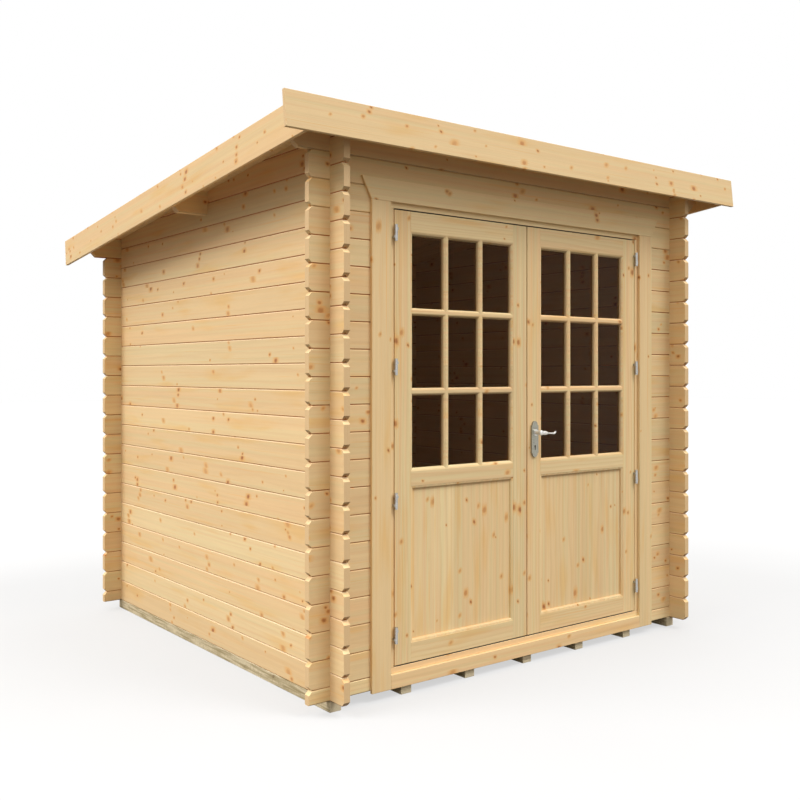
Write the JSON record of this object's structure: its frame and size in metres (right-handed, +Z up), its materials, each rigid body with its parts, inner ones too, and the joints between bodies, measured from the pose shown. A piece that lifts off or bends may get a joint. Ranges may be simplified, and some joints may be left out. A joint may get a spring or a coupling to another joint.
{
  "type": "log cabin",
  "caption": "Garden log cabin of interlocking notched softwood logs with a pent roof, glazed double doors with a lever handle, and timber bearers.",
  "frame": {"origin": "bottom centre of the bounding box, on the ground under the middle bearer", "axes": "+Z up, the doors face -Y, +X to the right of someone facing the doors"},
  "size_m": [2.856, 2.7094, 2.4382],
  "materials": {
    "treated_timber": "sawn, pressure treated",
    "floor_pine": "planed, untreated",
    "side_log_pine": "planed, untreated",
    "cross_log_pine": "planed, untreated",
    "roof_pine": "planed, untreated",
    "fascia_pine": "planed, untreated",
    "barge_pine": "planed, untreated",
    "upright_pine": "planed, untreated",
    "level_pine": "planed, untreated",
    "stile_pine": "planed, untreated",
    "rail_pine": "planed, untreated",
    "bar_pine": "planed, untreated",
    "panel_pine": "planed, untreated",
    "roof_felt": "mineral surfaced",
    "door_glass": "clear",
    "hinge_steel": "zinc plated",
    "handle_metal": "satin"
  },
  "bodies": {
    "cabin": {"bearers": "treated_timber", "floor": "floor_pine", "left_logs_a": "side_log_pine", "left_logs_b": "side_log_pine", "right_logs_a": "side_log_pine", "right_logs_b": "side_log_pine", "back_logs_a": "cross_log_pine", "back_logs_b": "cross_log_pine", "front_left_logs_a": "cross_log_pine", "front_left_logs_b": "cross_log_pine", "front_right_logs_a": "cross_log_pine", "front_right_logs_b": "cross_log_pine", "sill_log": "cross_log_pine", "lintel_log": "cross_log_pine", "upper_log": "cross_log_pine", "front_top_log": "cross_log_pine", "back_top_log": "cross_log_pine", "mid_purlin": "cross_log_pine", "roof_boards": "roof_pine", "roof_felt": "roof_felt", "front_fascia": "fascia_pine", "left_barge": "barge_pine", "right_barge": "barge_pine", "door_jambs": "upright_pine", "door_head": "level_pine", "door_threshold": "level_pine", "side_trims": "upright_pine", "head_trim": "level_pine", "foot_trim": "level_pine", "frame_hinges": "hinge_steel"},
    "left_door": {"left_stiles": "stile_pine", "left_rails": "rail_pine", "left_bars": "bar_pine", "left_panel": "panel_pine", "left_glass": "door_glass", "left_hinges": "hinge_steel"},
    "right_door": {"right_stiles": "stile_pine", "right_rails": "rail_pine", "right_bars": "bar_pine", "right_panel": "panel_pine", "right_glass": "door_glass", "right_hinges": "hinge_steel", "handle_plates": "handle_metal"},
    "lever": {"handle_lever": "handle_metal"}
  },
  "joints": [
    {"name": "left_door_hinge", "type": "hinge", "parent": "cabin", "child": "left_door", "pos_m": [-0.793, -1.19551, 1.1], "axis": [0, 0, -1], "range_deg": [0, 150]},
    {"name": "right_door_hinge", "type": "hinge", "parent": "cabin", "child": "right_door", "pos_m": [0.793, -1.19551, 1.1], "axis": [0, 0, 1], "range_deg": [0, 150]},
    {"name": "lever_turn", "type": "hinge", "parent": "right_door", "child": "lever", "pos_m": [0.047, -1.20251, 1.092], "axis": [0, 1, 0], "range_deg": [0, 40], "stiffness_Nm_per_rad": 0.8, "springref_deg": -28.65}
  ]
}
